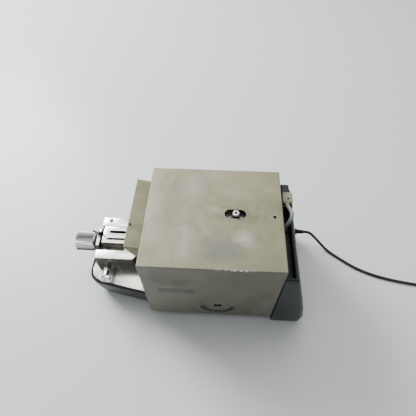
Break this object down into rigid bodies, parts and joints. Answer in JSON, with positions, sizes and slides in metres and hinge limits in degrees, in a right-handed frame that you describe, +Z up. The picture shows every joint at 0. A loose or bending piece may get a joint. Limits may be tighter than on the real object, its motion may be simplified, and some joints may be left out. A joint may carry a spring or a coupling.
{
  "type": "microtome",
  "caption": "Motor-driven bench microtome under a sheet-metal cover, with knife stage, visor, rear housing and mains lead.",
  "frame": {"origin": "on the table, below the middle of the machine's box without its mains lead", "axes": "+X from the knife stage to the rear housing, -Y the side with the thickness dial, +Z up"},
  "size_m": [0.8946, 0.278, 0.238],
  "materials": {
    "cover_paint": "satin paint, faintly blotched",
    "slate_paint": "smooth semi-gloss",
    "dark_print": "worn print",
    "nickel": "polished nickel plate",
    "chrome": "bright",
    "steel": "ground",
    "cast_aluminium": "cast and milled",
    "brass": "satin",
    "rubber": "matt",
    "black_plastic": "fine grained",
    "beige_plastic": "moulded",
    "grey_jacket": "smooth vinyl",
    "white_nylon": "smooth",
    "circuit_board": "lacquered",
    "copper": "enamelled wire"
  },
  "bodies": {
    "base": {"base_shell": "slate_paint", "rubber_trim": "rubber", "deck_plate": "nickel", "chassis_plate": "cast_aluminium", "foot_front_left": "rubber", "foot_front_right": "rubber", "foot_rear_left": "rubber", "foot_rear_right": "rubber", "rear_housing": "slate_paint", "recess_floor": "black_plastic", "transformer_coil": "copper", "transformer_core": "steel", "control_board": "circuit_board", "control_socket": "black_plastic", "connector_hood": "beige_plastic", "hood_screw_inner": "steel", "hood_screw_outer": "steel", "control_cable": "grey_jacket", "cord_gland": "rubber", "mains_cord": "rubber", "cord_coil": "rubber", "mains_plug": "black_plastic", "stage_body": "nickel", "screw_bracket": "nickel", "stage_dome_screw": "chrome", "brass_stop": "brass", "rod_block_front": "cast_aluminium", "rod_block_rear": "cast_aluminium", "guide_rod_left": "steel", "guide_rod_right": "steel", "selector_bracket": "cast_aluminium"},
    "cover_assembly": {"cover": "cover_paint", "visor": "cover_paint", "dial_scale": "dark_print"},
    "feed_carriage": {"carriage_plate": "cast_aluminium", "column_front": "steel", "column_rear": "steel", "top_bridge": "cast_aluminium", "post": "white_nylon", "crank_bracket": "cast_aluminium", "drive_belt": "rubber", "motor_bracket": "cast_aluminium", "drive_motor": "black_plastic"},
    "feed_spindle": {"feed_screw": "steel", "ratchet_wheel": "brass"},
    "specimen_slide": {"stroke_slide": "cast_aluminium", "specimen_arm": "steel", "clamp_head": "nickel"},
    "specimen_screw": {"specimen_clamp_screw": "chrome"},
    "crank_shaft": {"crank": "steel", "crank_pulley": "cast_aluminium"},
    "motor_rotor": {"motor_pulley": "cast_aluminium"},
    "feed_pawl": {"pawl": "steel"},
    "selector": {"selector_shaft": "steel", "selector_cam": "brass"},
    "knife_slide": {"stage_slide": "nickel"},
    "stage_spindle": {"leadscrew": "steel", "stage_knob": "chrome"},
    "rail_clamp": {"rail_clamp_screw": "chrome"},
    "stage_lock": {"lock_screw": "steel"}
  },
  "joints": [
    {"name": "cover_lift", "type": "slide", "parent": "base", "child": "cover_assembly", "axis": [0, 0, 1], "range_m": [0, 0.22]},
    {"name": "feed_screw_turn", "type": "hinge", "parent": "base", "child": "feed_spindle", "pos_m": [0, 0.003, 0.06], "axis": [1, 0, 0], "range_deg": [-1805, 1805]},
    {"name": "carriage_feed", "type": "slide", "parent": "base", "child": "feed_carriage", "axis": [1, 0, 0], "range_m": [-0.01, 0.01]},
    {"name": "specimen_stroke", "type": "slide", "parent": "feed_carriage", "child": "specimen_slide", "axis": [0, 0, 1], "range_m": [-0.025, 0.025]},
    {"name": "specimen_screw_turn", "type": "hinge", "parent": "specimen_slide", "child": "specimen_screw", "pos_m": [-0.08, 0.003, 0.17], "axis": [0, 0, 1], "range_deg": [0, 180]},
    {"name": "crank_turn", "type": "hinge", "parent": "feed_carriage", "child": "crank_shaft", "pos_m": [0.093, 0.05, 0.154], "axis": [0, 1, 0], "continuous": true},
    {"name": "motor_turn", "type": "hinge", "parent": "feed_carriage", "child": "motor_rotor", "pos_m": [0.093, 0.066, 0.1], "axis": [0, 1, 0], "continuous": true},
    {"name": "pawl_swing", "type": "hinge", "parent": "base", "child": "feed_pawl", "pos_m": [0.001, 0.026, 0.082], "axis": [1, 0, 0], "range_deg": [-12, 0]},
    {"name": "selector_turn", "type": "hinge", "parent": "base", "child": "selector", "pos_m": [0.066, -0.09, 0.07], "axis": [0, 1, 0], "range_deg": [-90, 90]},
    {"name": "stage_knob_turn", "type": "hinge", "parent": "base", "child": "stage_spindle", "pos_m": [-0.23, 0.008, 0.101], "axis": [1, 0, 0], "range_deg": [-905, 2165]},
    {"name": "knife_travel", "type": "slide", "parent": "base", "child": "knife_slide", "axis": [1, 0, 0], "range_m": [-0.005, 0.012]},
    {"name": "rail_clamp_turn", "type": "hinge", "parent": "base", "child": "rail_clamp", "pos_m": [-0.171, -0.07, 0.094], "axis": [0, 1, 0], "range_deg": [0, 270]},
    {"name": "stage_lock_turn", "type": "hinge", "parent": "base", "child": "stage_lock", "pos_m": [-0.1963, 0.015, 0.12], "axis": [0, 0, 1], "range_deg": [0, 270]}
  ],
  "couplings": [
    {"joint": "feed_screw_turn", "follows": "carriage_feed", "rad_per_m": 3141.6},
    {"joint": "stage_knob_turn", "follows": "knife_travel", "rad_per_m": 3141.6},
    {"joint": "motor_turn", "follows": "crank_turn", "ratio": 3.2727}
  ]
}
